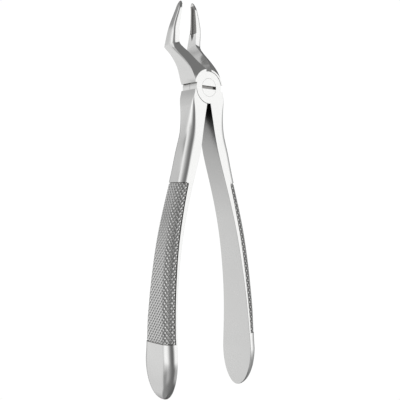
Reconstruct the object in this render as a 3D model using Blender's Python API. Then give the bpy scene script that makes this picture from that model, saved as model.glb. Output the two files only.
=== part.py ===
# Extraction forceps, bayonet root pattern. Metres, +Z toward the beaks.
# The pivot axis is Y; the slotted screw head faces -Y. The origin is the centre of the lap joint.
import math
import bpy
import bmesh
from mathutils import Vector

MM = 0.001

# ---------------------------------------------------------------- driving dimensions (millimetres)
HUB_HALF = 5.05          # half thickness of the closed lap joint
DISC_R = 7.25            # radius of each lap disc
COLLAR_R = 8.35          # radius of the flat front collar where the jaw begins
GAP = 0.30               # clearance between touching pieces
JAW_SHOULDER_Z = 1.80    # lower end of the jaw shoulder beside the lap disc
HANDLE_SHOULDER_Z = -1.30
HEAD_R = 4.10            # pivot screw head
HEAD_DEPTH = 2.20
SHANK_R = 2.30
SLOT_W = 1.40
SLOT_DEPTH = 1.10
CORNER_R = 4.00          # rounding of the two outer handle corners
HANDLE_END_Z = -138.9
TONGUE_Z = -121.0        # start of the rounded tongue at the handle end
TONGUE_HALF_W = 9.80
KNURL_TOP_Z = -43.2
KNURL_END_Z = -113.6
OPEN_DEG = 19.0
CLOSE_DEG = -8.7

# handle profile: Z, inner face X, outer face X, width in Y
HANDLE = [
    (-1.30, 0.90, 8.15, 10.10),
    (-4.70, 0.90, 8.70, 10.10),
    (-7.20, 0.90, 9.05, 10.10),
    (-10.4, 1.47, 9.42, 10.10),
    (-14.5, 2.25, 9.85, 10.10),
    (-18.6, 3.10, 10.45, 10.20),
    (-22.5, 3.70, 11.30, 10.50),
    (-26.5, 4.50, 12.40, 10.90),
    (-30.5, 5.60, 13.50, 11.10),
    (-34.8, 6.85, 14.55, 11.30),
    (-39.5, 8.35, 15.75, 11.40),
    (-44.0, 9.78, 16.85, 11.50),
    (-51.0, 11.95, 18.90, 11.85),
    (-57.8, 13.80, 20.80, 12.20),
    (-64.8, 15.50, 22.30, 12.75),
    (-72.0, 17.00, 23.60, 13.35),
    (-80.0, 18.35, 24.80, 14.10),
    (-88.0, 19.45, 25.70, 14.95),
    (-96.0, 20.38, 26.30, 15.85),
    (-104.0, 21.00, 26.65, 17.00),
    (-112.0, 21.40, 26.85, 18.25),
    (-117.0, 21.58, 26.90, 19.05),
    (-121.0, 21.68, 26.90, 19.60),
]

# jaw stations: each row is front inner (x, y, z), front outer, back outer, back inner, corner rounding
JAW = [
    ((1.30, -5.05, 1.80), (8.10, -5.05, 1.80), (8.10, 5.05, 1.80), (1.30, 5.05, 1.80), 0.0, 0.0),
    ((1.50, -5.05, 8.21), (7.94, -5.05, 2.60), (8.15, 6.05, 4.40), (1.50, 6.05, 6.40), 0.0, 1.0),
    ((2.55, -2.60, 10.6), (8.00, -3.00, 6.60), (8.20, 7.45, 8.50), (2.40, 7.45, 9.60), 0.0, 0.35),
    ((3.35, -0.45, 12.7), (8.05, -0.84, 9.65), (8.28, 9.20, 11.8), (3.20, 9.20, 12.4), 0.3, 0.22),
    ((3.95, 4.10, 16.8), (8.30, 3.40, 13.9), (8.45, 12.3, 15.9), (3.85, 12.3, 16.1), 0.7, 0.14),
    ((4.60, 8.30, 20.3), (8.70, 8.00, 17.6), (8.75, 15.6, 19.1), (4.50, 15.6, 19.2), 1.2, 0.08),
    ((4.85, 10.4, 22.2), (8.95, 11.0, 20.6), (8.95, 17.0, 20.6), (4.80, 17.0, 20.6), 1.5, 0.03),
    ((4.85, 10.5, 24.5), (8.90, 10.5, 24.2), (8.90, 16.1, 24.2), (4.80, 16.1, 24.5), 1.5, 0.0),
    ((4.75, 10.1, 28.0), (8.55, 10.1, 28.0), (8.55, 15.0, 28.0), (4.75, 15.0, 28.0), 1.4, 0.0),
    ((4.40, 9.85, 32.0), (7.75, 9.85, 32.0), (7.75, 14.1, 32.0), (4.40, 14.1, 32.0), 1.2, 0.0),
    ((3.95, 9.70, 35.5), (6.55, 9.70, 35.5), (6.55, 13.4, 35.5), (3.95, 13.4, 35.5), 1.0, 0.0),
    ((3.55, 9.60, 38.5), (5.50, 9.60, 38.5), (5.50, 12.8, 38.5), (3.55, 12.8, 38.5), 0.8, 0.0),
    ((3.45, 9.75, 40.6), (4.75, 9.75, 40.6), (4.75, 12.3, 40.6), (3.45, 12.3, 40.6), 0.5, 0.0),
    ((3.50, 10.2, 41.7), (4.25, 10.2, 41.7), (4.25, 11.7, 41.7), (3.50, 11.7, 41.7), 0.3, 0.0),
    ((3.65, 10.6, 42.0), (4.00, 10.6, 42.0), (4.00, 11.3, 42.0), (3.65, 11.3, 42.0), 0.12, 0.0),
]
SLOPE_STEPS = 5          # points across the slope between the two front edges
ROUND_STEPS = 4          # points around a rounded corner


# ---------------------------------------------------------------- helpers
def steel(name, hex_grey, rough):
    mat = bpy.data.materials.new(name)
    mat.use_nodes = True
    bsdf = mat.node_tree.nodes["Principled BSDF"]
    c = (hex_grey / 255.0) ** 2.2
    bsdf.inputs["Base Color"].default_value = (c, c, c * 1.01, 1.0)
    bsdf.inputs["Metallic"].default_value = 1.0
    bsdf.inputs["Roughness"].default_value = rough
    return mat


def mesh_object(name, bm):
    mesh = bpy.data.meshes.new(name)
    bmesh.ops.recalc_face_normals(bm, faces=bm.faces)
    bm.to_mesh(mesh)
    bm.free()
    obj = bpy.data.objects.new(name, mesh)
    bpy.context.scene.collection.objects.link(obj)
    return obj


def loft(name, loops, side=1):
    """Closed body through a list of equal-length loops, mirrored in X when side is -1."""
    bm = bmesh.new()
    rings = [[bm.verts.new((side * x * MM, y * MM, z * MM)) for x, y, z in loop] for loop in loops]
    n = len(rings[0])
    for a, b in zip(rings[:-1], rings[1:]):
        for i in range(n):
            j = (i + 1) % n
            bm.faces.new((a[i], a[j], b[j], b[i]))
    bm.faces.new(rings[0])
    bm.faces.new(list(reversed(rings[-1])))
    bmesh.ops.triangulate(bm, faces=bm.faces)
    return mesh_object(name, bm)


def cylinder(name, radius, y0, y1, segments=96, radius_end=None):
    """Cylinder or cone along Y."""
    bm = bmesh.new()
    r1 = radius if radius_end is None else radius_end
    rings = []
    for y, r in ((y0, radius), (y1, r1)):
        rings.append([bm.verts.new((r * math.cos(2 * math.pi * (i + 0.5) / segments) * MM, y * MM,
                                    r * math.sin(2 * math.pi * (i + 0.5) / segments) * MM))
                      for i in range(segments)])
    for i in range(segments):
        j = (i + 1) % segments
        bm.faces.new((rings[0][i], rings[0][j], rings[1][j], rings[1][i]))
    bm.faces.new(rings[0])
    bm.faces.new(list(reversed(rings[1])))
    return mesh_object(name, bm)


def block(name, x0, x1, y0, y1, z0, z1):
    loops = [[(x0, y0, z), (x1, y0, z), (x1, y1, z), (x0, y1, z)] for z in (z0, z1)]
    return loft(name, loops)


def combine(obj, tool, operation):
    tool.hide_render = True
    tool.display_type = 'WIRE'
    mod = obj.modifiers.new(tool.name, 'BOOLEAN')
    mod.operation = operation
    mod.solver = 'EXACT'
    mod.object = tool


def smooth_by_angle(obj, degrees=32):
    """Round faces shaded smooth, real edges kept sharp."""
    for poly in obj.data.polygons:
        poly.use_smooth = True
    bm = bmesh.new()
    bm.from_mesh(obj.data)
    for edge in bm.edges:
        edge.smooth = edge.is_manifold and edge.calc_face_angle(0.0) < math.radians(degrees)
    bm.to_mesh(obj.data)
    bm.free()


# ---------------------------------------------------------------- handle
def handle_loop(z, x_in, x_out, width):
    """One level section: flat inner face, flat sides, two rounded outer corners."""
    half = width / 2
    r = CORNER_R * min(1.0, max(0.0, (-4.0 - z) / 21.0))
    r = max(0.25, min(r, 0.80 * half, 0.80 * (x_out - x_in)))
    pts = [(x_in, -half, z)]
    for i in range(ROUND_STEPS + 1):
        a = math.pi / 2 * i / ROUND_STEPS
        pts.append((x_out - r + r * math.sin(a), -half + r - r * math.cos(a), z))
    for i in range(ROUND_STEPS + 1):
        a = math.pi / 2 * (1 - i / ROUND_STEPS)
        pts.append((x_out - r + r * math.sin(a), half - r + r * math.cos(a), z))
    pts.append((x_in, half, z))
    return pts


def handle_body(name, side):
    loops = [handle_loop(*row) for row in HANDLE]
    length = TONGUE_Z - HANDLE_END_Z
    for frac in (0.20, 0.38, 0.54, 0.67, 0.78, 0.865, 0.925, 0.965, 0.988):
        z = TONGUE_Z - frac * length
        half = TONGUE_HALF_W * math.sqrt(1 - frac * frac)
        roll = max(0.0, (frac - 0.38) / 0.62)                 # the outer face rolls in toward the inner one
        edge = 5.15 * (1 - math.sqrt(1 - roll * roll))
        loops.append(handle_loop(z, 21.68 - 0.15 * frac, 26.90 - edge, 2 * half))
    return loft(name, loops, side)


# ---------------------------------------------------------------- jaw
def jaw_loop(fi, fo, bo, bi, corner, bulge):
    """Loop of one jaw station: slope from front inner to front outer, rounded outer corner, back, inner face."""
    fi, fo, bo, bi = (Vector(p) for p in (fi, fo, bo, bi))
    pts = []
    chord = fo - fi
    for i in range(SLOPE_STEPS + 1):
        t = i / SLOPE_STEPS
        p = fi.lerp(fo, t)
        if bulge >= 1.0:
            # on the collar the edge follows the collar arc
            a0, a1 = math.atan2(fi.z, fi.x), math.atan2(fo.z, fo.x)
            a = a0 + (a1 - a0) * t
            p = Vector((COLLAR_R * math.cos(a), fi.y, COLLAR_R * math.sin(a)))
        else:
            p.z += 4 * bulge * chord.length * 0.25 * t * (1 - t)
        pts.append(p)
    # rounded front outer corner
    if corner > 0:
        along = (pts[-2] - pts[-1]).normalized()
        down = (bo - fo).normalized()
        last = pts.pop()
        a = last + along * corner
        b = last + down * corner
        while len(pts) > 1 and (pts[-1] - last).length < corner * 1.05:
            pts.pop()
        need = SLOPE_STEPS + 1 - len(pts)
        pts.append(a)
        fill = need - 1 + ROUND_STEPS
        for i in range(1, fill + 1):
            t = i / fill
            pts.append((1 - t) ** 2 * a + 2 * t * (1 - t) * last + t * t * b)
    else:
        last = pts[-1]
        for i in range(1, ROUND_STEPS + 1):
            pts.append(last + (bo - last) * 0.02 * i)
    pts.append(bo)
    pts.append(bi)
    return [tuple(p) for p in pts]


def jaw_body(name, side):
    return loft(name, [jaw_loop(*row) for row in JAW], side)


def beak_groove(name, side):
    """Cutter for the gripping groove along the inner face of the beak."""
    loops = []
    for z, x, y, w, d in ((24.8, 4.80, 13.1, 0.10, 0.02), (26.5, 4.80, 12.8, 1.00, 0.35),
                          (30.5, 4.57, 12.2, 1.15, 0.50), (35.5, 3.95, 11.55, 1.05, 0.50),
                          (38.5, 3.55, 11.2, 0.95, 0.45), (43.0, 3.45, 11.0, 0.80, 0.40)):
        loop = []
        for i in range(9):
            a = math.pi * i / 8
            loop.append((x - 0.3 + (d + 0.3) * math.sin(a), y - w * math.cos(a), z))
        loops.append([(x - 1.5, y - w, z)] + loop + [(x - 1.5, y + w, z)])
    return loft(name, loops, side)


# ---------------------------------------------------------------- build
for old in list(bpy.data.objects):
    bpy.data.objects.remove(old, do_unlink=True)

pivot = bpy.data.objects.new("pivot_axis", None)
bpy.context.scene.collection.objects.link(pivot)


def build_half(name, handle_side, disc_y0, disc_y1, pocket_y0, pocket_y1, grey):
    """One forging: handle on one side, jaw on the other, joined by its lap disc."""
    body = handle_body(name, handle_side)
    combine(body, jaw_body(name + "_jaw", -handle_side), 'UNION')
    combine(body, cylinder(name + "_disc", DISC_R, disc_y0, disc_y1), 'UNION')
    combine(body, cylinder(name + "_pocket", DISC_R + GAP, pocket_y0, pocket_y1), 'DIFFERENCE')
    combine(body, cylinder(name + "_bore", SHANK_R + GAP, -HUB_HALF - 2, HUB_HALF + 2, 48), 'DIFFERENCE')
    combine(body, beak_groove(name + "_groove", -handle_side), 'DIFFERENCE')
    body.data.materials.append(steel("mat_" + name, grey, 0.25))
    smooth_by_angle(body)
    return body


front_half = build_half("front_half", 1, -HUB_HALF, -GAP / 2, -GAP / 2, HUB_HALF + 3, 205)
combine(front_half, cylinder("front_half_seat", HEAD_R + GAP, -HUB_HALF - 1,
                             -HUB_HALF + HEAD_DEPTH + GAP, 64), 'DIFFERENCE')
rear_half = build_half("rear_half", -1, GAP / 2, HUB_HALF, -HUB_HALF - 3, GAP / 2, 200)

pivot_screw = cylinder("pivot_screw", HEAD_R, -HUB_HALF, -HUB_HALF + HEAD_DEPTH, 64)
combine(pivot_screw, cylinder("pivot_screw_shank", SHANK_R, -HUB_HALF + 0.8, HUB_HALF, 48), 'UNION')
combine(pivot_screw, block("pivot_screw_slot", -HEAD_R - 1, HEAD_R + 1, -HUB_HALF - 1,
                           -HUB_HALF + SLOT_DEPTH, -SLOT_W / 2, SLOT_W / 2), 'DIFFERENCE')
pivot_screw.data.materials.append(steel("mat_pivot_screw", 210, 0.22))
smooth_by_angle(pivot_screw)

# the front half turns about the pivot axis
front_half.parent = pivot
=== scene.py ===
# %% [markdown]
# # Extraction forceps, bayonet root pattern
# A forged hand instrument of three pieces: two halves that cross in a lap joint, and the slotted
# screw that holds them. Each half is a handle, a flat joint disc and a jaw in one forging. Every
# length below is in millimetres and is turned to metres where a mesh is made.

# %% Load the imported model
import math

import bmesh
import bpy
import numpy as np
from mathutils import Matrix, Vector


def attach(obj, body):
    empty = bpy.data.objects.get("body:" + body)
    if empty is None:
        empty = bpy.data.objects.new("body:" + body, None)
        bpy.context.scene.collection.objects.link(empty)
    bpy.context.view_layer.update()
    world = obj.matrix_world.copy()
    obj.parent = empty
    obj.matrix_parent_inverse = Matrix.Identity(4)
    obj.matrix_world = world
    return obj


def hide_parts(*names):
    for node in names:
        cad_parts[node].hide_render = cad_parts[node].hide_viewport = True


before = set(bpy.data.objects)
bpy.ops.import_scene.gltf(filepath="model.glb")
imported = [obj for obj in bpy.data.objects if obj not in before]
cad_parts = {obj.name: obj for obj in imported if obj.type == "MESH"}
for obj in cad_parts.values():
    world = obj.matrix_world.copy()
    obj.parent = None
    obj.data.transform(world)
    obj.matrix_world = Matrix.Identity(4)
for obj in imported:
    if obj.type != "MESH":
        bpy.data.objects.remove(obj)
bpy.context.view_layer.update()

MM = 0.001
ops = bpy.ops

# %% [markdown]
# ## Small tools
# An operator works on whatever is selected, so each helper first clears the selection. A face or
# an edge is picked by where it is, as a hand would pick it.


# %% Selection and boolean helpers
def only(obj):
    """Leaves obj as the one selected and active object, in object mode."""
    if bpy.context.object and bpy.context.object.mode != "OBJECT":
        ops.object.mode_set(mode="OBJECT")
    ops.object.select_all(action="DESELECT")
    obj.select_set(True)
    bpy.context.view_layer.objects.active = obj


def edit(obj, kind="FACE"):
    """Opens obj in edit mode with nothing selected, and gives back its editable mesh."""
    only(obj)
    ops.object.mode_set(mode="EDIT")
    ops.mesh.select_mode(type=kind)
    ops.mesh.select_all(action="DESELECT")
    return bmesh.from_edit_mesh(obj.data)


def pick_faces(obj, test):
    """Selects the faces that pass the test, and gives back how many there are."""
    bm = bmesh.from_edit_mesh(obj.data)
    count = 0
    for face in bm.faces:
        face.select_set(False)
    for face in bm.faces:
        if test(face):
            face.select_set(True)
            count += 1
    bmesh.update_edit_mesh(obj.data)
    return count


def done(obj):
    """Goes back to object mode."""
    ops.object.mode_set(mode="OBJECT")
    return obj


def face_outward(obj):
    """Turns every face of the mesh in edit mode to the outside, and goes back to object mode."""
    ops.mesh.select_all(action="SELECT")
    ops.mesh.normals_make_consistent(inside=False)
    return done(obj)


def rod(name, radius, y0, y1, sides=192):
    """A round bar along the pivot axis."""
    ops.object.select_all(action="DESELECT")
    ops.mesh.primitive_cylinder_add(vertices=sides, radius=radius * MM, depth=(y1 - y0) * MM,
                                    location=(0, (y0 + y1) / 2 * MM, 0), rotation=(math.pi / 2, 0, 0))
    bar = bpy.context.object
    bar.name = name
    ops.object.transform_apply(location=True, rotation=True, scale=True)
    for vert in bar.data.vertices:      # ends exactly on their planes, so that flush faces merge
        vert.co.y = (y0 if vert.co.y < (y0 + y1) / 2 * MM else y1) * MM
    return bar


def work(body, tool, operation):
    """Adds or cuts the tool, then throws it away."""
    only(body)
    ops.object.modifier_add(type="BOOLEAN")
    mod = body.modifiers[-1]
    mod.operation, mod.solver, mod.object = operation, "EXACT", tool
    ops.object.modifier_apply(modifier=mod.name)
    bpy.data.objects.remove(tool, do_unlink=True)


def smooth_line(knots, values):
    """A natural cubic spline: the fair curve a forger's template would follow."""
    x, y = np.array(knots, float), np.array(values, float)
    order = np.argsort(x)
    x, y = x[order], y[order]
    h, n = np.diff(x), len(x)
    rows, right = np.eye(n), np.zeros(n)
    for i in range(1, n - 1):
        rows[i, i - 1:i + 2] = h[i - 1], 2 * (h[i - 1] + h[i]), h[i]
        right[i] = 6 * ((y[i + 1] - y[i]) / h[i] - (y[i] - y[i - 1]) / h[i - 1])
    bend = np.linalg.solve(rows, right)

    def at(t):
        i = int(np.clip(np.searchsorted(x, t) - 1, 0, n - 2))
        a, c = (x[i + 1] - t) / h[i], (t - x[i]) / h[i]
        return float(a * y[i] + c * y[i + 1]
                     + ((a ** 3 - a) * bend[i] + (c ** 3 - c) * bend[i + 1]) * h[i] ** 2 / 6)

    return at


# %% [markdown]
# ## Steel
# Dental forceps are hardened martensitic stainless steel, ground and then satin polished. The
# grinding lines run along the instrument and are a few hundredths of a millimetre apart. They are
# too fine to see one by one, so they are drawn a little coarser, as a soft grain. The reflections
# are wide and calm: roughness near 0.2.


# %% Colour and node helpers
def linear(hex_text):
    """An sRGB hex colour as the linear RGBA that a shader wants."""
    parts = [int(hex_text[i:i + 2], 16) / 255 for i in (1, 3, 5)]
    return tuple(p / 12.92 if p <= 0.04045 else ((p + 0.055) / 1.055) ** 2.4 for p in parts) + (1.0,)


def add(tree, kind, links=(), **settings):
    """Adds a node. A setting named in_X goes to input X, and links are (input, other socket)."""
    made = tree.nodes.new(kind)
    for key, value in settings.items():
        if key.startswith("in_"):
            name = key[3:]
            made.inputs[int(name) if name.isdigit() else name.replace("_", " ")].default_value = value
        else:
            setattr(made, key, value)
    for name, socket in links:
        tree.links.new(socket, made.inputs[name])
    return made


def set_stops(ramp, stops):
    """Grey stops for a colour ramp, each a place from 0 to 1 and a brightness."""
    elements = ramp.color_ramp.elements
    elements.remove(elements[-1])
    for number, (at, bright) in enumerate(stops):
        stop = elements[0] if number == 0 else elements.new(at)
        stop.position, stop.color = at, (bright, bright, bright, 1)


def steel(name, tint, rough_low, rough_high, grain=(0.9, 0.9, 0.03), scale=None):
    """Satin stainless steel. grain is lines per 0.1 mm across and along the grinding direction.

    scale, when given, is painted shade that darkens the steel level by level, as pairs: a level in mm,
    and how bright the steel is at that level.
    """
    mat = bpy.data.materials.new(name)
    mat.use_nodes = True
    tree = mat.node_tree
    tree.nodes.clear()
    place = add(tree, "ShaderNodeTexCoord")
    stretch = add(tree, "ShaderNodeMapping", [("Vector", place.outputs["Object"])],
                  in_Scale=tuple(10000 * g for g in grain))
    lines = add(tree, "ShaderNodeTexNoise", [("Vector", stretch.outputs["Vector"])],
                in_Scale=1.0, in_Detail=3.0, in_Roughness=0.6)
    # handling marks: soft clouds about 12 mm across
    clouds = add(tree, "ShaderNodeTexNoise", [("Vector", place.outputs["Object"])],
                 in_Scale=80.0, in_Detail=2.0, in_Roughness=0.5)
    both = add(tree, "ShaderNodeMath", [(0, lines.outputs["Fac"]), (1, clouds.outputs["Fac"])],
               operation="MULTIPLY")
    rough = add(tree, "ShaderNodeMapRange", [("Value", both.outputs["Value"])],
                in_1=0.12, in_2=0.40, in_3=rough_low, in_4=rough_high)
    dark = tuple(c * 0.93 for c in linear(tint)[:3]) + (1.0,)
    colour = add(tree, "ShaderNodeMix", [(0, clouds.outputs["Fac"])], data_type="RGBA",
                 in_6=dark, in_7=linear(tint))
    if scale:
        # painted shade: the colour is multiplied by a brightness read off the level, darkest near the
        # joint
        bottom, top = scale[0][0], scale[-1][0]
        axes = add(tree, "ShaderNodeSeparateXYZ", [("Vector", place.outputs["Object"])])
        level = add(tree, "ShaderNodeMapRange", [("Value", axes.outputs["Z"])],
                    in_1=bottom * MM, in_2=top * MM)
        painted_shade_ramp = add(tree, "ShaderNodeValToRGB", [("Fac", level.outputs["Result"])])
        set_stops(painted_shade_ramp, [((z - bottom) / (top - bottom), bright) for z, bright in scale])
        colour = add(tree, "ShaderNodeMix", [(6, colour.outputs[2]), (7, painted_shade_ramp.outputs["Color"])],
                     data_type="RGBA", blend_type="MULTIPLY", in_0=1.0)
    relief = add(tree, "ShaderNodeBump", [("Height", lines.outputs["Fac"])],
                 in_Strength=0.004, in_Distance=0.00002)
    shader = add(tree, "ShaderNodeBsdfPrincipled",
                 [("Base Color", colour.outputs[2]), ("Roughness", rough.outputs["Result"]),
                  ("Normal", relief.outputs["Normal"])], in_Metallic=1.0)
    add(tree, "ShaderNodeOutputMaterial", [("Surface", shader.outputs["BSDF"])])
    return mat


# ground and satin polished: the whole forging apart from its grips
satin = steel("satin_stainless", "#F4F4F3", 0.11, 0.17)
# the tops of the cut diamonds keep the satin finish
crest = steel("grip_crest_stainless", "#EFEFEE", 0.14, 0.22)
# the cut valleys are rough from the cutter, and their slightly darker colour is painted shade in the
# grooves
valley = steel("grip_valley_stainless", "#E2E2E1", 0.18, 0.28)
# the screw is turned, so it is a touch brighter than the forging
turned = steel("turned_stainless", "#F4F4F3", 0.11, 0.17, grain=(0.5, 0.5, 0.5))
# ground or sawn and never polished: the gripping faces, the slot and the relief round the grips. Its dark
# colour is partly painted shade, since it is also laid on recesses and gaps where shade falls
ground = steel("ground_stainless", "#9B9A98", 0.24, 0.34)
# the inner faces of the handles: a rougher finish, with painted shade that darkens them towards the
# crotch, where the two handles shade each other
painted_crotch_shade = steel("scaled_stainless", "#F4F4F3", 0.22, 0.30,
               scale=[(-60, 0.95), (-50, 0.88), (-33, 0.72), (-24, 0.56), (-18, 0.40), (-14.5, 0.24),
                      (-12, 0.07), (-7, 0.02)])
# every mesh of the forgings has the same five finishes in the same order
FINISHES = (satin, crest, valley, ground, painted_crotch_shade)
SATIN, CREST, VALLEY, GROUND_AND_PAINTED_SHADE, PAINTED_CROTCH_SHADE = range(len(FINISHES))


def give_finishes(obj, everywhere=None):
    """Gives obj the five finishes, and one of them to all of its faces when it is named."""
    for mat in FINISHES:
        obj.data.materials.append(mat)
    if everywhere is not None:
        for face in obj.data.polygons:
            face.material_index = everywhere

# %% [markdown]
# ## Handle
# The handle is a bar with a flat inner face, flat sides and two rounded outer corners. It bows
# outward and widens to a tongue. It is made as a sheet: the outer skin is drawn flat, as a tailor
# would cut it, the grip is worked while it is flat, and then the sheet is laid round the bar. Flat
# first is what makes the diamond cuts the right size and square to the surface.

# %% The handle's template: levels below the pivot, faces and width
HALF_JOINT = 5.05        # half the thickness of the joint, which the neck keeps
SHOULDER, NECK = -1.30, -7.2        # top of the handle inside the joint, and where the bar starts
TONGUE, END = -121.0, -138.9        # where the rounded tongue starts and ends
NECK_INNER = 0.88        # the inner face of the neck, from the middle of the instrument
# the inner face, half width and thickness where the tongue starts
TONGUE_INNER, TONGUE_HALF, TONGUE_THICK = 21.69, 9.80, 5.20
CORNER = 4.0             # radius of the two outer corners along the grip
EDGE = 0.28              # broken edge between the inner face and the sides
GRIP_TOP, GRIP_END = -43.2, -113.6
GRIP_ROUND = 1.1         # radius of the grip's two upper corners

LEVELS = [NECK, -14, -21, -28, -38, -50, -65, -82, -100, TONGUE]
inner_face = smooth_line(LEVELS, [NECK_INNER, 2.18, 3.46, 4.89, 7.88, 11.63, 15.56, 18.64, 20.72,
                                  TONGUE_INNER])
outer_face = smooth_line(LEVELS, [9.42, 10.05, 11.08, 12.88, 15.31, 18.64, 22.36, 25.04, 26.52, 26.89])
half_width = smooth_line(LEVELS, [HALF_JOINT, HALF_JOINT, 5.18, 5.49, 5.67, 5.89, 6.38, 7.15, 8.22,
                                  TONGUE_HALF])
# the outer corners are nearly sharp at the joint and widen to their full radius down the bar
CORNER_TOP, CORNER_FULL = -5.0, -26.0
corner_radius = smooth_line([CORNER_TOP, -8.0, -12.3, -16.0, -20.0, CORNER_FULL],
                            [0.25, 1.50, 2.66, 3.35, 3.85, CORNER])
# how far the grip's border stays from the inner face
RIM_TOP, RIM_END = -43, -114
rim = smooth_line([RIM_TOP, -44, -58, -72, -96, -110, RIM_END],
                  [2.62, 2.60, 2.05, 1.70, 1.02, 0.92, 0.92])


def section(z):
    """Inner face, outer face, half width and corner radius at one level."""
    radius = corner_radius(max(CORNER_FULL, min(CORNER_TOP, z)))
    if z > NECK:
        outer = float(np.interp(-z, [1.3, 4.7, 7.2], [8.15, 8.95, 9.42]))
        return NECK_INNER, outer, HALF_JOINT, radius
    # between levels -104 and -119 the corners grow by 1 mm more
    radius += 1.0 * min(1.0, max(0.0, (-104.0 - z) / 15.0))
    if z >= TONGUE:
        return inner_face(z), outer_face(z), max(HALF_JOINT, half_width(z)), radius
    # the tongue's width closes as half an ellipse; its thickness closes later, so its end is full
    share = (TONGUE - z) / (TONGUE - END)
    thick = TONGUE_THICK * math.sqrt(max(0.0, 1 - share ** 2.8))
    half = TONGUE_HALF * math.sqrt(max(0.0, 1 - share * share))
    inner = TONGUE_INNER - 0.15 * share
    return inner, inner + thick, half, CORNER + 1.0


def outline(z):
    """The section's faces and radii, and the lengths of its flat, its round corner and its side."""
    inner, outer, half, radius = section(z)
    edge = max(1e-4, min(EDGE, 0.3 * half, 0.3 * (outer - inner)))
    radius = max(1e-4, min(radius, 0.82 * half, (outer - inner - edge) * 0.96))
    flat, arc = half - radius, radius * math.pi / 2
    return inner, outer, half, radius, edge, flat, arc, outer - inner - radius - edge


def skin(u, z, lift):
    """The point of the outer skin at level z and arc length u from the middle of the outer face."""
    inner, outer, half, radius, edge, flat, arc, side = outline(z)
    a = abs(u)
    if a <= flat:
        x, y, nx, ny = outer, a, 1.0, 0.0
    elif a <= flat + arc:
        t = (a - flat) / radius
        nx, ny = math.cos(t), math.sin(t)
        x, y = outer - radius + radius * nx, half - radius + radius * ny
    elif a <= flat + arc + side:
        x, y, nx, ny = outer - radius - (a - flat - arc), half, 0.0, 1.0
    else:
        t = min((a - flat - arc - side) / edge, math.pi / 2)
        nx, ny = -math.sin(t), math.cos(t)
        x, y = inner + edge + edge * nx, half - edge + edge * ny
    x, y = x + lift * nx, y + lift * ny
    return x, math.copysign(y, u), z


def spans(z):
    """Arc lengths of the column lines on one side: middle, corner start, corner end, rim, edge."""
    inner, outer, half, radius, edge, flat, arc, side = outline(z)
    full = flat + arc + side
    grip = full + edge - rim(max(RIM_END, min(RIM_TOP, z)))
    grip = max(grip, flat + arc + 0.12 * side)
    lines = [0.0, flat * 0.5, flat] + [flat + arc * k / 10 for k in range(1, 11)]
    lines += [grip, full, full + edge * math.pi / 4, full + edge * math.pi / 2]
    return lines


# %% Draw the skin flat: a grid whose lines follow the bar's corners
half_columns = len(spans(GRIP_TOP)) - 1
RIM_COLUMN = 13          # the column line that is the grip's border
# the tongue's rows crowd together towards its end, and stop just before the width is nothing
tongue_rows = [TONGUE - (TONGUE - END) * math.sin(math.pi / 2 * k / 22) * 0.9995 for k in range(1, 23)]
rows = [SHOULDER, -3.0, -4.7, -6.0, NECK]
rows += [NECK - k * (GRIP_TOP - NECK) / -24 for k in range(1, 24)]
rows += [GRIP_TOP - step for step in (0, 0.08, 0.3, 0.65, GRIP_ROUND)]
rows += list(np.linspace(GRIP_TOP - GRIP_ROUND, GRIP_END, 48)[1:])
rows += list(np.linspace(GRIP_END, TONGUE, 7)[1:])
rows += tongue_rows
rows = [float(z) for z in rows]


def rim_pull(z):
    """How far the border is drawn in, to round the grip's two upper corners."""
    depth = GRIP_TOP - z
    if not 0 <= depth < GRIP_ROUND:
        return 0.0
    return GRIP_ROUND - math.sqrt(max(0.0, GRIP_ROUND ** 2 - (GRIP_ROUND - depth) ** 2))


def flat_skin(name):
    """A grid on the rows and columns above, drawn flat: X is the arc length and Y is the level."""
    columns = 2 * half_columns + 1
    ops.object.select_all(action="DESELECT")
    ops.mesh.primitive_grid_add(x_subdivisions=columns - 1, y_subdivisions=len(rows) - 1, size=1)
    sheet = bpy.context.object
    sheet.name = name
    for vert in sheet.data.vertices:
        col = round((vert.co.x + 0.5) * (columns - 1)) - half_columns
        z = rows[len(rows) - 1 - round((vert.co.y + 0.5) * (len(rows) - 1))]
        u = spans(z)[abs(col)]
        if abs(col) == RIM_COLUMN and GRIP_END <= z <= GRIP_TOP:
            u -= rim_pull(z)
        vert.co = (math.copysign(u, col) if col else 0.0, z, 0.0)
    return sheet


handle = flat_skin("handle")
print("flat skin:", len(handle.data.polygons), "faces")

# %% [markdown]
# ## Diamond grip
# Two sets of slanting V grooves are milled across the bar. Between them stand flat-topped
# diamonds, 2.28 mm long and 1.76 mm wide. By hand this would be: merge the grip area into one
# face, sink it, slice it along every groove line with bisect, then extrude each cell on its own
# and scale its top towards its middle. Inset is not used, because it throws spikes from the narrow
# cells at the border. The groove lines stay at the bottom, so each valley is a true V.

# %% Sink the grip area, slice it and raise the diamonds
DIAMOND_WIDE, DIAMOND_LONG = 1.76, 2.28
GRIP_SINK = 0.50         # depth of the channel's floor below the skin
RELIEF, STEP_DOWN = 0.32, 0.02      # width of the channel, and how much deeper the field lies
DIAMOND_RISE = 0.38      # height of a whole diamond
DIAMOND_ROOM = 0.697     # radius of the round spot that fits in a whole diamond's foot
DIAMOND_INSET = 0.43     # how much of that radius the slanting sides take up
DIAMOND_LEAST = 0.19     # the smallest spot of a cell that is still raised
PHASE = 0.21             # no groove runs exactly through a corner of the border
GRIP_REACH = 13.0        # farther from the middle than the grip's border at any level


def grip_border(z):
    return spans(z)[RIM_COLUMN] - rim_pull(z)


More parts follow.
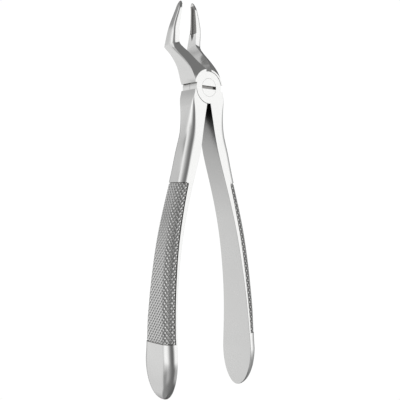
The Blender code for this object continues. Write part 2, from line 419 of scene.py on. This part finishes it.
def cut_diamonds(sheet):
    """Merges and sinks the grip area of the flat sheet, slices it and raises its cells."""
    edit(sheet)
    inside = pick_faces(sheet, lambda f: GRIP_END - 1e-4 < f.calc_center_median().y < GRIP_TOP
                        and all(abs(v.co.x) <= grip_border(v.co.y) + 1e-3 for v in f.verts))
    ops.mesh.dissolve_faces(use_verts=False)
    ops.mesh.extrude_region_move(TRANSFORM_OT_translate={"value": (0, 0, -GRIP_SINK)})
    ops.mesh.inset(thickness=RELIEF, depth=-STEP_DOWN)

    def low(f):
        return all(v.co.z < -GRIP_SINK - 0.5 * STEP_DOWN for v in f.verts)

    cuts = 0
    for slant in (1, -1):
        n = Vector((1 / DIAMOND_WIDE, slant / DIAMOND_LONG, 0))
        ends = [n.dot(Vector((x, z, 0))) for x in (-GRIP_REACH, GRIP_REACH) for z in (GRIP_TOP, GRIP_END)]
        for k in range(math.ceil(min(ends)), math.floor(max(ends)) + 1):
            pick_faces(sheet, low)
            ops.mesh.bisect(plane_co=n * ((k + PHASE) / n.length_squared), plane_no=n, threshold=1e-5)
            cuts += 1
    pick_faces(sheet, low)
    ops.mesh.remove_doubles(threshold=0.04)

    def room(f):
        """Radius of the round spot that fits in a cell, near enough."""
        return 2 * f.calc_area() / sum(e.calc_length() for e in f.edges)

    # every cell is lifted and drawn in towards its middle; cut cells rise less, slivers not at all
    bm = bmesh.from_edit_mesh(sheet.data)
    cells = [f for f in bm.faces if low(f) and room(f) > DIAMOND_LEAST]
    rises = [DIAMOND_RISE * min(1.0, room(f) / DIAMOND_ROOM) for f in cells]
    for face, rise in zip(bmesh.ops.extrude_discrete_faces(bm, faces=cells)["faces"], rises):
        middle = face.calc_center_median_weighted()
        for vert in face.verts:
            vert.co = middle + (vert.co - middle) * (1 - DIAMOND_INSET / DIAMOND_ROOM)
            vert.co.z += rise
    bmesh.update_edit_mesh(sheet.data)
    print("  diamonds raised:", len(cells))
    # faces with more corners would fold when bent: each gets a middle point and a fan round it
    fanned = pick_faces(sheet, lambda f: len(f.verts) > 4)
    ops.mesh.poke()
    print("  faces fanned:", fanned)
    done(sheet)
    print("grip:", inside, "faces merged,", cuts, "grooves,", len(sheet.data.polygons), "faces")


cut_diamonds(handle)


# %% Lay the sheet round the bar and close it
def grip_finish(heights):
    """The finish of a face of the flat sheet, from the heights of its corners."""
    low, high, near = min(heights), max(heights), 1e-4
    # the channel's wall and floor take the dark ground finish: painted shade in the recess round the grip
    if high > -near:
        return SATIN if low > -near else GROUND_AND_PAINTED_SHADE         # the skin, and the wall of the channel
    if abs(high + GRIP_SINK) < near:
        return GROUND_AND_PAINTED_SHADE                                   # the channel's floor
    # a face is a diamond's top when it is level and no lower than the smallest raised cell
    tops = -GRIP_SINK - STEP_DOWN + DIAMOND_RISE * DIAMOND_LEAST / DIAMOND_ROOM - 0.02
    return CREST if high - low < 1e-3 and low > tops else VALLEY


def lay_round(sheet):
    """Moves every point from the flat drawing to the bar, then closes the flat inner face."""
    mesh = sheet.data
    give_finishes(sheet)
    for face in mesh.polygons:
        face.material_index = grip_finish([mesh.vertices[i].co.z for i in face.vertices])
    for vert in mesh.vertices:
        u, z, lift = vert.co
        vert.co = Vector(skin(u, z, lift)) * MM
    ends = rows[0] * MM, rows[-1] * MM
    for edge in edit(sheet, "EDGE").edges:      # the two long borders, not the two ends
        at_end = all(min(abs(v.co.z - end) for end in ends) < 1e-7 for v in edge.verts)
        if edge.is_boundary and not at_end:
            edge.select_set(True)
    bmesh.update_edit_mesh(mesh)
    ops.mesh.bridge_edge_loops()
    ops.mesh.select_non_manifold(extend=False, use_wire=False, use_boundary=True,
                                 use_multi_face=False, use_non_contiguous=False, use_verts=False)
    ops.mesh.fill_holes(sides=0)
    face_outward(sheet)
    for face in mesh.polygons:
        # the handle's top inside the joint takes the dark ground finish: painted shade in the gap under
        # the jaws
        if face.normal.z > 0.9 and face.center.z > (SHOULDER - 0.1) * MM:
            face.material_index = GROUND_AND_PAINTED_SHADE
        # the inner faces take the painted shade that darkens them towards the crotch
        if face.normal.x < -0.9:
            face.material_index = PAINTED_CROTCH_SHADE


lay_round(handle)


def open_edges(obj):
    """How many edges don't join exactly two faces, and the volume in cubic millimetres."""
    bm = bmesh.new()
    bm.from_mesh(obj.data)
    count = sum(1 for e in bm.edges if not e.is_manifold)
    volume = bm.calc_volume()
    bm.free()
    return count, round(volume * 1e9, 1)


print("handle: open edges and volume in mm3", open_edges(handle))

# %% [markdown]
# ## Jaw
# The jaw leaves the joint as a bar that leans back at about 45 degrees, then turns up at an elbow
# into the beak: the bayonet shape that reaches past the front teeth. Each station below gives the
# four corners of the bar. By hand it would be a plane extruded from station to station; here a
# grid is laid on the same stations, so that the long faces stay fair.

# %% The jaw's stations: front inner, front outer, back outer, back inner
# each row: four corners (x, y, z), then how far the front outer rounding reaches over the slope and
# over the side, how far the back outer rounding reaches, and how much the slope bulges, as a share
# of its width
ROOT = [
    [(1.30, -HALF_JOINT, 1.80), (8.10, -HALF_JOINT, 1.80),
     (8.10, HALF_JOINT, 1.80), (1.30, HALF_JOINT, 1.80), 0.12, 0.12, 0.15, 0.0],
    [(1.50, -HALF_JOINT, 8.21), (7.94, -HALF_JOINT, 2.60), (8.15, 6.05, 4.40), (1.50, 6.05, 6.40),
     0.15, 0.15, 0.20, 0.139],
]
BAR = [
    ROOT[1],
    [(2.55, -2.60, 10.6), (8.00, -3.00, 6.60), (8.20, 7.45, 8.50), (2.40, 7.45, 9.60),
     0.25, 0.45, 0.30, 0.070],
    [(3.35, -0.45, 12.7), (8.05, -0.84, 9.65), (8.28, 9.20, 11.8), (3.20, 9.20, 12.4),
     0.40, 0.90, 0.40, 0.035],
    [(3.95, 4.10, 16.8), (8.30, 3.40, 13.9), (8.45, 12.3, 15.9), (3.85, 12.3, 16.1),
     0.95, 1.90, 0.45, 0.015],
    [(4.45, 7.40, 19.5), (8.60, 6.90, 17.0), (8.70, 14.9, 18.5), (4.35, 14.9, 18.6),
     1.40, 2.90, 0.50, 0.005],
    [(4.75, 9.60, 21.4), (8.85, 9.60, 19.6), (8.92, 16.9, 20.4), (4.75, 16.9, 20.4),
     1.70, 3.30, 0.50, 0.0],
]
BEAK = [
    [(4.85, 10.30, 22.4), (8.95, 10.6, 21.4), (8.95, 17.0, 20.7), (4.80, 17.0, 20.7),
     2.00, 3.40, 0.55, 0.0],
    [(4.87, 10.42, 24.2), (8.88, 10.5, 23.6), (8.88, 16.2, 23.6), (4.84, 16.2, 24.0),
     2.10, 3.10, 0.65, 0.0],
    [(4.78, 10.15, 28.0), (8.55, 10.1, 28.0), (8.55, 15.1, 28.0), (4.78, 15.1, 28.0),
     1.50, 1.90, 0.80, 0.0],
    [(4.42, 9.88, 32.0), (7.75, 9.88, 32.0), (7.75, 14.1, 32.0), (4.42, 14.1, 32.0),
     1.35, 1.40, 0.95, 0.0],
    [(3.95, 9.70, 35.5), (6.62, 9.70, 35.5), (6.62, 13.4, 35.5), (3.95, 13.4, 35.5),
     1.15, 1.15, 0.95, 0.0],
    [(3.55, 9.64, 38.5), (5.58, 9.64, 38.5), (5.58, 12.8, 38.5), (3.55, 12.8, 38.5),
     0.90, 0.90, 0.80, 0.0],
]
SLOPE_POINTS, ROUND_POINTS = 9, 6       # points of an outline across the slope and in a corner
SLOPE_STEPS = 30         # steps of the fine line that the slope's points are read from
INNER_ROUND = 0.15       # the two corners of the inner face are only broken
BETWEEN = 5              # outlines from one station to the next


def station(corners, at):
    """A station between the given ones, each number on its own fair curve."""
    flat = [[number for corner in row[:4] for number in corner] + row[4:] for row in corners]
    index = range(len(flat))
    values = [smooth_line(index, [row[k] for row in flat])(at) for k in range(len(flat[0]))]
    return [values[0:3], values[3:6], values[6:9], values[9:12]] + values[12:]


def toward(corner, other, radius, most=0.45):
    """The point at the radius from a corner on the line to the other one, or nearer if it is short."""
    line = other - corner
    return corner + line.normalized() * min(radius, most * line.length)


def rounded(before, corner, after, radius, start=None):
    """Points of a rounded corner between two neighbours."""
    a = start or toward(corner, before, radius)
    b = toward(corner, after, radius)
    steps = [k / (ROUND_POINTS - 1) for k in range(ROUND_POINTS)]
    return [(1 - t) ** 2 * a + 2 * t * (1 - t) * corner + t * t * b for t in steps]


def walk(path, distances):
    """Points at the given distances along a path."""
    marks = [0.0]
    for p, q in zip(path[:-1], path[1:]):
        marks.append(marks[-1] + (q - p).length)
    found = []
    for d in distances:
        i = int(np.clip(np.searchsorted(marks, d) - 1, 0, len(path) - 2))
        found.append(path[i].lerp(path[i + 1], (d - marks[i]) / max(1e-9, marks[i + 1] - marks[i])))
    return found


def jaw_ring(row):
    """The closed outline of one station, corners rounded, always with the same number of points."""
    fi, fo, bo, bi = (Vector(p) for p in row[:4])
    soft_front, soft_side, soft_back = (max(value, 0.04) for value in row[4:7])
    bulge = row[7]
    chord = fo - fi
    out = Vector((-chord.z, 0, chord.x)).normalized()
    last = 1 - min(soft_front, 0.62 * chord.length) / chord.length
    front = []
    for k in range(1, SLOPE_STEPS + 1):
        t = last * k / SLOPE_STEPS
        front.append(fi.lerp(fo, t) + out * (4 * bulge * chord.length * t * (1 - t)))
    ring = rounded(bi, fi, front[0], INNER_ROUND, toward(fi, bi, INNER_ROUND, 0.3))
    path = [ring[-1]] + [p for p in front if (p - fi).length > (ring[-1] - fi).length + 1e-4]
    reach = sum((q - p).length for p, q in zip(path[:-1], path[1:]))
    ring += walk(path, [reach * k / (SLOPE_POINTS + 1) for k in range(1, SLOPE_POINTS + 1)])
    ring += rounded(None, fo, bo, soft_side, path[-1])
    if (bo - fo).length < 1:        # near the tip the side has no room between its corners
        ring += [fo.lerp(bo, t) for t in (0.46, 0.5, 0.54)]
    else:
        ring += [ring[-1].lerp(bo, t) for t in (0.2, 0.4, 0.6)]
    ring += rounded(fo, bo, bi, soft_back)
    ring += [bo.lerp(bi, t) for t in (0.47, 0.53)]
    ring += rounded(bo, bi, fi, INNER_ROUND)
    ring += [bi.lerp(fi, t) for t in (0.35, 0.5, 0.65)]
    return ring


TIP_RINGS, TIP_LONG = 9, 3.75


def beak_tip(row):
    """The beak ends in a rounded tip that leans inward, like a thumb nail."""
    rings = []
    fi, fo, bo, bi = (Vector(p) for p in row[:4])
    for k in range(1, TIP_RINGS + 1):
        a = math.pi / 2 * k / TIP_RINGS * 0.93
        up, close = TIP_LONG * math.sin(a), math.cos(a) ** 0.9
        inner = fi.x - 0.085 * up + 0.25 * (1 - close) ** 2
        wide = (fo.x - fi.x) * close * (1 - 0.10 * up)
        deep = (bo.y - fi.y) / 2 * close * (1 - 0.05 * up)
        mid = (fi.y + bo.y) / 2 + 0.03 * up
        rings.append([(inner, mid - deep, fi.z + up), (inner + wide, mid - deep, fi.z + up),
                      (inner + wide, mid + deep, fi.z + up), (inner, mid + deep, fi.z + up)]
                     + [value * close for value in row[4:7]] + [0.0])
    return rings


def jaw_rings():
    """The outlines from the joint to the tip."""
    made = [ROOT[0], ROOT[1]]
    made += [station(BAR, k / BETWEEN) for k in range(1, BETWEEN * (len(BAR) - 1) + 1)]
    made += [station(BEAK, k / BETWEEN) for k in range(0, BETWEEN * (len(BEAK) - 1) + 1)]
    made += beak_tip(made[-1])
    return [jaw_ring(row) for row in made]


# %% Lay a grid on the stations, sew its seam and close its ends
def tube(name, rings):
    """A grid laid on closed outlines, sewn along its seam and closed at both ends. Stays in edit mode."""
    along, around = len(rings) - 1, len(rings[0])
    ops.object.select_all(action="DESELECT")
    ops.mesh.primitive_grid_add(x_subdivisions=around, y_subdivisions=along, size=1)
    made = bpy.context.object
    made.name = name
    for vert in made.data.vertices:
        col = round((vert.co.x + 0.5) * around) % around
        row = round((vert.co.y + 0.5) * along)
        vert.co = Vector(rings[row][col]) * MM
    edit(made, "VERT")
    ops.mesh.select_all(action="SELECT")
    ops.mesh.remove_doubles(threshold=1e-7)
    ops.mesh.select_non_manifold(extend=False)
    ops.mesh.fill_holes(sides=0)
    return made


def build_jaw(name):
    """The jaw, with its two end faces fanned, because the cuts want faces of three or four corners."""
    made = done(tube(name, jaw_rings()))
    edit(made)
    pick_faces(made, lambda f: len(f.verts) > 4)
    ops.mesh.poke()
    face_outward(made)
    give_finishes(made)
    for face in made.data.polygons:
        # the underside of the jaw's shoulder takes the dark ground finish: painted shade in the gap above
        # the neck
        if face.normal.z < -0.9 and face.center.z < 2.0 * MM:
            face.material_index = GROUND_AND_PAINTED_SHADE
    return made


jaw = build_jaw("jaw")
print("jaw: open edges and volume in mm3", open_edges(jaw))

# %% [markdown]
# The beak grips a root with a hollowed face: a shallow step near its foot, and a long groove down
# the middle that runs out in a point. Both are ground in with a wheel, so here a shaped cutter is
# taken away from the face.

# %% Grind the step and the groove into the beak
GRIP_STEP = 0.38         # how deep the gripping face lies below the foot of the beak
STEP_LEVEL = 28.0
GROOVE_FOOT, GRIND_END = 24.6, 41.0     # where the groove starts, and where both cuts have run out
GROOVE_HALF, GROOVE_DEEP = 0.95, 0.85
# the inner face and the middle of the beak, level by level
face_x = smooth_line([24.2, 28, 32, 35.5, 38.5, 41.5], [4.87, 4.78, 4.42, 3.95, 3.55, 3.02])
mid_y = smooth_line([24.2, 28, 32, 35.5, 38.5, 43], [13.3, 12.63, 11.99, 11.55, 11.22, 11.15])


def strip_cutter(name, levels, shape):
    """A bar of any outline, level by level, closed at both ends."""
    bar = face_outward(tube(name, [shape(z) for z in levels]))
    give_finishes(bar, GROUND_AND_PAINTED_SHADE)
    return bar


def step_outline(z):
    """The step drops over 0.3 mm, keeps its depth and runs out in the last 0.9 mm."""
    x = face_x(z)
    start, end = (z - STEP_LEVEL + 0.15) / 0.3, (GRIND_END - z) / 0.9
    deep = GRIP_STEP * min(1.0, max(0.0, start)) * min(1.0, max(-0.5, end))
    return [(x - 3, 6, z), (x + deep, 6, z), (x + deep, 19, z), (x - 3, 19, z)]


def groove_outline(z):
    """Half round. It opens from a point over 2.4 mm, narrows past level 34 and ends shallow."""
    share = min(1.0, max(0.03, (z - GROOVE_FOOT) / 2.4))
    wide = GROOVE_HALF * share
    deep = (GRIP_STEP * (1 if z > STEP_LEVEL else 0) + GROOVE_DEEP) * share
    x, y = face_x(z), mid_y(z)
    wide *= 1.0 if z < 34 else 1.0 - 0.05 * (z - 34)
    deep *= 1.0 if z < 38.5 else max(0.05, (GRIND_END - z) / 2.5)
    ring = [(x - 2, y - wide, z)]
    for k in range(13):
        turn = math.pi * k / 12
        ring.append((x + deep * math.sin(turn), y - wide * math.cos(turn), z))
    return ring + [(x - 2, y + wide, z)]


step_levels = [STEP_LEVEL - 0.15, STEP_LEVEL + 0.15]
step_levels += [29 + 0.75 * k for k in range(15)] + [40.1, 40.6, GRIND_END, 41.4]
work(jaw, strip_cutter("step_wheel", step_levels, step_outline), "DIFFERENCE")
print("step ground: open edges and volume in mm3", open_edges(jaw))
groove_levels = [GROOVE_FOOT + 0.4 * k for k in range(8)] + [STEP_LEVEL]
groove_levels += [28.4 + 0.8 * k for k in range(16)] + [GRIND_END]
work(jaw, strip_cutter("groove_wheel", groove_levels, groove_outline), "DIFFERENCE")
print("beak ground: open edges and volume in mm3", open_edges(jaw))

# %% [markdown]
# ## The two halves
# The front half has its handle on the right and its jaw on the left; the rear half is the other
# way round. Each has a round disc half the joint thick, and a round seat for the other's disc.

# %% Joint sizes
DISC = 7.25
SEAM = 0.12              # running clearance, front to back
RIM_GAP = 0.26           # the visible gap round the discs
HEAD, HEAD_DEEP = 4.10, 2.20
SHANK = 2.30
SLOT_WIDE, SLOT_DEEP = 1.40, 1.10
CHAMFER = 0.12


def copy_of(source, name, mirrored):
    """A copy with its own mesh, turned over to the other side when mirrored."""
    only(source)
    ops.object.duplicate()
    made = bpy.context.object
    made.name = name
    if mirrored:
        edit(made)
        ops.mesh.select_all(action="SELECT")
        ops.transform.mirror(constraint_axis=(True, False, False), orient_type="GLOBAL",
                             center_override=(0, 0, 0))
        face_outward(made)
    return made


def finished_rod(name, radius, y0, y1, sides=192, finish=GROUND_AND_PAINTED_SHADE):
    made = rod(name, radius, y0, y1, sides)
    give_finishes(made, finish)
    return made


def build_half(name, handle_left, disc, seat):
    """Joins handle, jaw and disc, then cuts the seat for the other disc and the screw's bore."""
    body = copy_of(handle, name, handle_left)
    work(body, copy_of(jaw, name + "_jaw", not handle_left), "UNION")
    work(body, finished_rod("disc", DISC, *disc, finish=SATIN), "UNION")
    # the seat's wall takes the dark ground finish: painted shade in the gap round the other disc
    work(body, finished_rod("seat", DISC + RIM_GAP, *seat), "DIFFERENCE")
    work(body, finished_rod("bore", SHANK + SEAM, -HALF_JOINT - 1, HALF_JOINT + 1, 96), "DIFFERENCE")
    return body


front = build_half("front_forging", False, (-HALF_JOINT, -SEAM / 2), (-SEAM / 2, HALF_JOINT + 4))
# the wall of the head's seat takes the dark ground finish: painted shade beside the screw head
head_seat = finished_rod("head_seat", HEAD + 0.06, -HALF_JOINT - 1, -HALF_JOINT + HEAD_DEEP + SEAM)
work(front, head_seat, "DIFFERENCE")
rear = build_half("rear_forging", True, (SEAM / 2, HALF_JOINT), (-HALF_JOINT - 4, SEAM / 2))
bpy.data.objects.remove(handle, do_unlink=True)
bpy.data.objects.remove(jaw, do_unlink=True)
for body in (front, rear):
    print(body.name, "open edges and volume in mm3", open_edges(body), len(body.data.polygons), "faces")


# %% Smooth the shading
def finish_shading(body):
    """Smooth shading that leaves the wide flat faces flat: big faces have the say at their corners."""
    only(body)
    ops.object.shade_smooth_by_angle(angle=math.radians(30))
    ops.object.modifier_add(type="WEIGHTED_NORMAL")
    mod = body.modifiers[-1]
    mod.mode, mod.weight, mod.keep_sharp = "FACE_AREA", 60, True
    ops.object.modifier_apply(modifier=mod.name)


for body in (front, rear):
    finish_shading(body)

# %% [markdown]
# ## Pivot screw
# The screw is turned from bar: a flush cheese head, a plain shank through both discs, and a slot
# across the whole head.

# %% Turn the screw and cut its slot
screw = rod("pivot_screw_turned", HEAD, -HALF_JOINT, -HALF_JOINT + HEAD_DEEP)
work(screw, rod("shank", SHANK, -HALF_JOINT + 0.5, HALF_JOINT, 96), "UNION")
ops.object.select_all(action="DESELECT")
ops.mesh.primitive_cube_add(size=1, location=(0, -HALF_JOINT * MM, 0))
slot_cutter = bpy.context.object
slot_cutter.scale = (3 * HEAD * MM, 2 * SLOT_DEEP * MM, SLOT_WIDE * MM)
ops.object.transform_apply(location=True, rotation=True, scale=True)
for part in (screw, slot_cutter):
    part.data.materials.append(turned)
    part.data.materials.append(ground)
# the slot's faces are sawn, and their dark ground finish is also painted shade inside the slot
for face in slot_cutter.data.polygons:
    face.material_index = 1         # ground, the screw's second finish
work(screw, slot_cutter, "DIFFERENCE")
only(screw)
ops.object.modifier_add(type="BEVEL")
chamfer = screw.modifiers[-1]
chamfer.width, chamfer.segments = CHAMFER * MM, 2
chamfer.limit_method, chamfer.angle_limit = "ANGLE", math.radians(40)
ops.object.modifier_apply(modifier=chamfer.name)
finish_shading(screw)
print("screw: open edges and volume in mm3", open_edges(screw))

# %% Hang the pieces on the bodies
for piece, body, node_name in ((front, "front_body", "front_half"), (rear, "rear_body", "rear_half"),
                               (screw, "rear_body", "pivot_screw")):
    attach(piece, body)
    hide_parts(node_name)

# %% [markdown]
# ## Studio
# Polished steel shows the room more than it shows itself. The room here is a product tent: rings
# of lighter and darker cloth at five heights, with a dim roof. The steel sees only the tent. The
# floor and the backdrop are plain and pale, and are hidden from its reflections.

# %% Floor and backdrop
pale = bpy.data.materials.new("pale_paper")
pale.use_nodes = True
pale.node_tree.nodes.clear()
paper = add(pale.node_tree, "ShaderNodeEmission", in_Color=linear("#FFFFFF"), in_Strength=1.02)
add(pale.node_tree, "ShaderNodeOutputMaterial", [("Surface", paper.outputs["Emission"])])
ops.object.select_all(action="DESELECT")
ops.mesh.primitive_circle_add(vertices=96, radius=4.0, fill_type="NGON", location=(0, 0, -0.150))
floor = bpy.context.object
floor.name = "floor"
ops.object.select_all(action="DESELECT")
ops.mesh.primitive_uv_sphere_add(segments=64, ring_count=32, radius=4.2, location=(0, 0, 0))
backdrop = bpy.context.object
backdrop.name = "backdrop"
for part in (floor, backdrop):
    part.data.materials.append(pale)
    part.visible_glossy = False
    part.visible_shadow = False
    part.visible_diffuse = False

# %% The tent: brightness round the ring at five heights
# each pair is a direction in degrees, turning from +X to +Y, and the brightness there
FLOOR_RING = [(0, 0.15), (50, 0.10), (90, 0.27), (150, 0.28), (200, 0.24), (243, 0.19), (270, 0.165),
              (300, 0.135), (330, 0.12), (360, 0.15)]
SKIRT_RING = [(0, 0.26), (25, 0.24), (50, 0.28), (72, 0.36), (92, 0.62), (110, 0.68), (142, 0.66),
              (156, 0.40), (165, 0.30), (185, 0.32), (205, 0.46), (216, 0.43), (234, 0.28), (252, 0.18),
              (264, 0.15), (278, 0.17), (292, 0.42), (312, 0.56), (330, 0.32), (360, 0.26)]
WALL_RING = [(0, 0.50), (25, 0.22), (48, 0.02), (70, 0.10), (90, 0.58), (112, 0.75), (142, 0.76),
             (156, 0.68), (170, 1.00), (180, 1.07), (200, 1.03), (212, 0.82), (225, 0.46), (238, 0.22),
             (252, 0.15), (262, 0.17), (273, 0.48), (283, 1.00), (292, 1.06), (328, 1.06), (342, 0.76),
             (360, 0.50)]
SHOULDER_RING = [(0, 0.26), (25, 0.13), (42, 0.14), (62, 0.34), (78, 0.42), (95, 0.58), (128, 0.60),
                 (140, 0.68), (158, 0.90), (178, 0.96), (198, 0.68), (216, 0.44), (234, 0.25),
                 (252, 0.18), (264, 0.22), (278, 0.60), (290, 1.00), (320, 1.05), (340, 0.60),
                 (360, 0.34)]
EAVES_RING = [(0, 0.165), (90, 0.26), (115, 0.33), (140, 0.35), (153, 0.38), (162, 0.60), (172, 0.94),
              (184, 0.90), (198, 0.70), (212, 0.46), (228, 0.26), (250, 0.15), (270, 0.145), (300, 0.15),
              (325, 0.155), (360, 0.165)]
RINGS = (FLOOR_RING, SKIRT_RING, WALL_RING, SHOULDER_RING, EAVES_RING)
ROOF = 0.195             # the same all round
# elevations in degrees between which one ring fades into the next, and the last one into the roof
FADES = [(-50, -34), (-25, -8), (9, 16), (20.5, 28), (44, 64)]

world = bpy.data.worlds.new("studio_tent")
bpy.context.scene.world = world
world.use_nodes = True
tree = world.node_tree
tree.nodes.clear()
place = add(tree, "ShaderNodeTexCoord")
axes = add(tree, "ShaderNodeSeparateXYZ", [("Vector", place.outputs["Generated"])])
turn = add(tree, "ShaderNodeMath", [(0, axes.outputs["Y"]), (1, axes.outputs["X"])],
           operation="ARCTAN2")
share = add(tree, "ShaderNodeMath", [(0, turn.outputs["Value"])], operation="MULTIPLY",
            in_1=1 / (2 * math.pi))
whole = add(tree, "ShaderNodeMath", [(0, share.outputs["Value"])], operation="FRACT")
rise = add(tree, "ShaderNodeMath", [(0, axes.outputs["Z"])], operation="ARCSINE")


def ring_light(stops):
    """One ring's brightness, read by the direction round the pivot."""
    ring = add(tree, "ShaderNodeValToRGB", [("Fac", whole.outputs["Value"])])
    ring.color_ramp.interpolation = "EASE"
    set_stops(ring, [(degrees / 360, value) for degrees, value in stops])
    return ring.outputs["Color"]


light = ring_light(RINGS[0])
for (low, high), stops in zip(FADES, RINGS[1:] + (None,)):
    fade = add(tree, "ShaderNodeMapRange", [("Value", rise.outputs["Value"])],
               interpolation_type="SMOOTHSTEP", in_1=math.radians(low), in_2=math.radians(high))
    blend = add(tree, "ShaderNodeMix", [(0, fade.outputs["Result"]), (6, light)], data_type="RGBA",
                in_7=(ROOF, ROOF, ROOF, 1))
    if stops:
        tree.links.new(ring_light(stops), blend.inputs[7])
    light = blend.outputs[2]
print("tent:", len(RINGS), "rings and a roof")
tent = add(tree, "ShaderNodeBackground", [("Color", light)], in_Strength=1.0)
add(tree, "ShaderNodeOutputWorld", [("Surface", tent.outputs["Background"])])

# %% Camera
# A long lens, a third of a metre away, level, at the height of the upper grips.
TURN, DISTANCE, EYE_LEVEL, LEFT = math.radians(40), 0.340, -0.0511, 0.00087
SENSOR, FOCAL = 36, 66.6
right = Vector((math.cos(TURN), -math.sin(TURN), 0))
ahead = Vector((math.sin(TURN), math.cos(TURN), 0))
lens = bpy.data.cameras.new("camera")
lens.sensor_width, lens.lens = SENSOR, FOCAL
camera = bpy.data.objects.new("camera", lens)
bpy.context.scene.collection.objects.link(camera)
pose = Matrix((right, Vector((0, 0, 1)), -ahead)).transposed().to_4x4()
pose.translation = -ahead * DISTANCE + Vector((0, 0, EYE_LEVEL)) - right * LEFT
camera.matrix_world = pose
bpy.context.scene.camera = camera
bpy.context.scene.view_settings.view_transform = "Standard"
